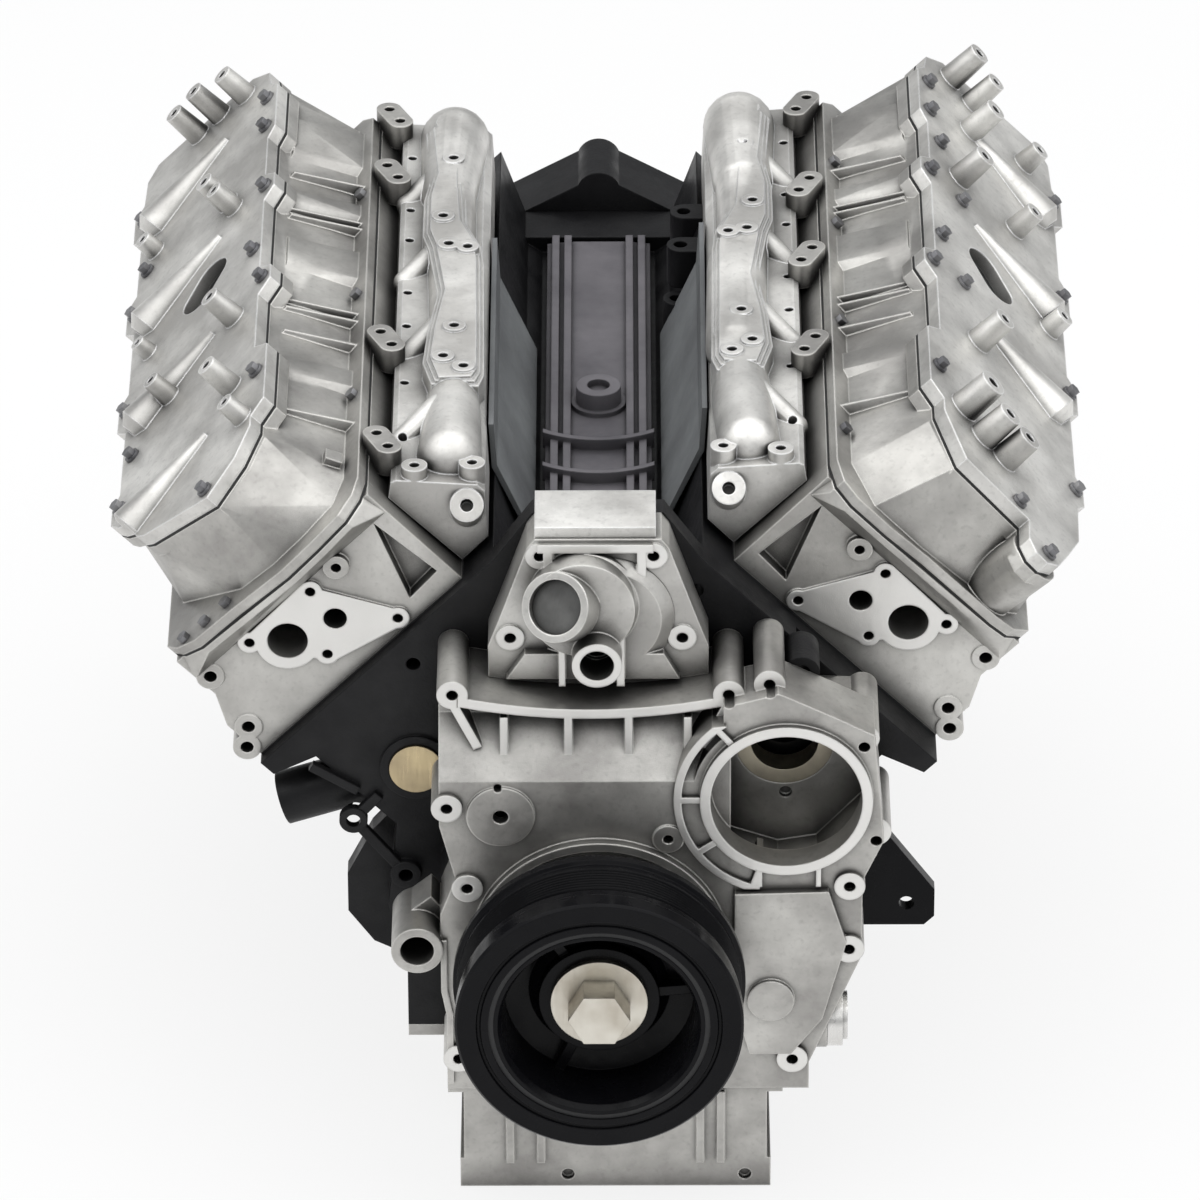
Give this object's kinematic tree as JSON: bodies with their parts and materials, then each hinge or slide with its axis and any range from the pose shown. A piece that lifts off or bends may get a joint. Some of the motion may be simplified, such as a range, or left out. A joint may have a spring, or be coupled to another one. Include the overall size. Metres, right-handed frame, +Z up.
{
  "type": "long block engine",
  "caption": "V-type diesel long block: black iron block with turning crankshaft, camshaft and pistons, aluminium heads, covers, gear case and oil pan.",
  "frame": {"origin": "centre of the flywheel flange's face on the crankshaft axis", "axes": "+Y towards the flywheel along the crankshaft, +Z up, +X towards the bank on the right seen from the front"},
  "size_m": [0.7471, 0.935, 0.6029],
  "materials": {
    "black_iron": "satin black paint on cast iron",
    "black_steel": "semi-gloss black paint",
    "cast_aluminium": "as-cast, fine grain, machined bosses",
    "bright_aluminium": "machined",
    "forged_steel": "machined journals on forged webs",
    "gear_steel": "machined",
    "plated_steel": "zinc plated",
    "bolt_steel": "phosphate",
    "brass_plug": "dull brass",
    "bearing_alloy": "dull bearing metal",
    "rubber": "matte",
    "gasket": "matte",
    "grey_panel": "matte grey",
    "piston_alloy": "machined"
  },
  "bodies": {
    "long_block": {"engine_block": "black_iron", "main_bearing_caps": "forged_steel", "main_bearings": "bearing_alloy", "main_cap_bolts": "bolt_steel", "cam_bearings": "bearing_alloy", "cylinder_head_left": "cast_aluminium", "cylinder_head_right": "cast_aluminium", "head_gaskets": "gasket", "lower_valve_cover_left": "cast_aluminium", "lower_valve_cover_right": "cast_aluminium", "lower_cover_gaskets": "gasket", "upper_valve_cover_left": "cast_aluminium", "upper_valve_cover_right": "cast_aluminium", "upper_cover_gaskets": "gasket", "intake_manifold_left": "cast_aluminium", "intake_manifold_right": "cast_aluminium", "manifold_clamps": "bright_aluminium", "valley_cover": "black_iron", "valley_panels": "grey_panel", "front_cover": "cast_aluminium", "gear_housing": "cast_aluminium", "gear_housing_plate": "bright_aluminium", "front_seal": "rubber", "rear_housing": "black_iron", "rear_seal": "rubber", "oil_pan": "cast_aluminium", "core_plugs": "brass_plug", "inlet_plug": "bright_aluminium", "pump_shaft_bearing": "bearing_alloy", "mount_bracket": "black_steel", "cover_bolts": "bolt_steel", "oil_pump_housing": "cast_aluminium", "oil_pickup": "plated_steel", "coolant_pipe": "bright_aluminium"},
    "crank": {"crankshaft": "forged_steel", "crank_gear": "gear_steel", "damper_hub": "black_steel", "damper_rubber": "rubber", "damper_ring": "black_steel", "crank_washer": "plated_steel", "crank_bolt": "plated_steel"},
    "cam": {"camshaft": "forged_steel", "cam_gear": "gear_steel", "cam_gear_bolt": "bolt_steel"},
    "oil_pump_drive": {"oil_pump_gear": "gear_steel"},
    "oil_pump_driven": {"oil_pump_idler": "gear_steel"},
    "piston_1_assembly": {"piston_1": "piston_alloy"},
    "piston_2_assembly": {"piston_2": "piston_alloy"},
    "piston_3_assembly": {"piston_3": "piston_alloy"},
    "piston_4_assembly": {"piston_4": "piston_alloy"},
    "piston_5_assembly": {"piston_5": "piston_alloy"},
    "piston_6_assembly": {"piston_6": "piston_alloy"},
    "piston_7_assembly": {"piston_7": "piston_alloy"},
    "piston_8_assembly": {"piston_8": "piston_alloy"}
  },
  "joints": [
    {"name": "crank_spin", "type": "hinge", "parent": "long_block", "child": "crank", "pos_m": [0, -0.4, 0], "axis": [0, 1, 0], "continuous": true},
    {"name": "cam_spin", "type": "hinge", "parent": "long_block", "child": "cam", "pos_m": [0, -0.4, 0.135], "axis": [0, 1, 0], "continuous": true},
    {"name": "oil_pump_spin", "type": "hinge", "parent": "long_block", "child": "oil_pump_drive", "pos_m": [0.08574, -0.78, -0.0495], "axis": [0, 1, 0], "continuous": true},
    {"name": "oil_pump_idler_spin", "type": "hinge", "parent": "long_block", "child": "oil_pump_driven", "pos_m": [0.08574, -0.79, -0.0855], "axis": [0, 1, 0], "continuous": true},
    {"name": "piston_1_slide", "type": "slide", "parent": "long_block", "child": "piston_1_assembly", "axis": [-0.7071, 0, 0.7071], "range_m": [-0.0418, 0.0572]},
    {"name": "piston_2_slide", "type": "slide", "parent": "long_block", "child": "piston_2_assembly", "axis": [0.7071, 0, 0.7071], "range_m": [-0.099, 0]},
    {"name": "piston_3_slide", "type": "slide", "parent": "long_block", "child": "piston_3_assembly", "axis": [-0.7071, 0, 0.7071], "range_m": [0, 0.099]},
    {"name": "piston_4_slide", "type": "slide", "parent": "long_block", "child": "piston_4_assembly", "axis": [0.7071, 0, 0.7071], "range_m": [-0.0418, 0.0572]},
    {"name": "piston_5_slide", "type": "slide", "parent": "long_block", "child": "piston_5_assembly", "axis": [-0.7071, 0, 0.7071], "range_m": [-0.099, 0]},
    {"name": "piston_6_slide", "type": "slide", "parent": "long_block", "child": "piston_6_assembly", "axis": [0.7071, 0, 0.7071], "range_m": [-0.0418, 0.0572]},
    {"name": "piston_7_slide", "type": "slide", "parent": "long_block", "child": "piston_7_assembly", "axis": [-0.7071, 0, 0.7071], "range_m": [-0.0418, 0.0572]},
    {"name": "piston_8_slide", "type": "slide", "parent": "long_block", "child": "piston_8_assembly", "axis": [0.7071, 0, 0.7071], "range_m": [0, 0.099]}
  ],
  "couplings": [
    {"joint": "cam_spin", "follows": "crank_spin", "ratio": -0.5},
    {"joint": "oil_pump_spin", "follows": "crank_spin", "ratio": -0.83333},
    {"joint": "oil_pump_idler_spin", "follows": "crank_spin", "ratio": 0.83333}
  ]
}
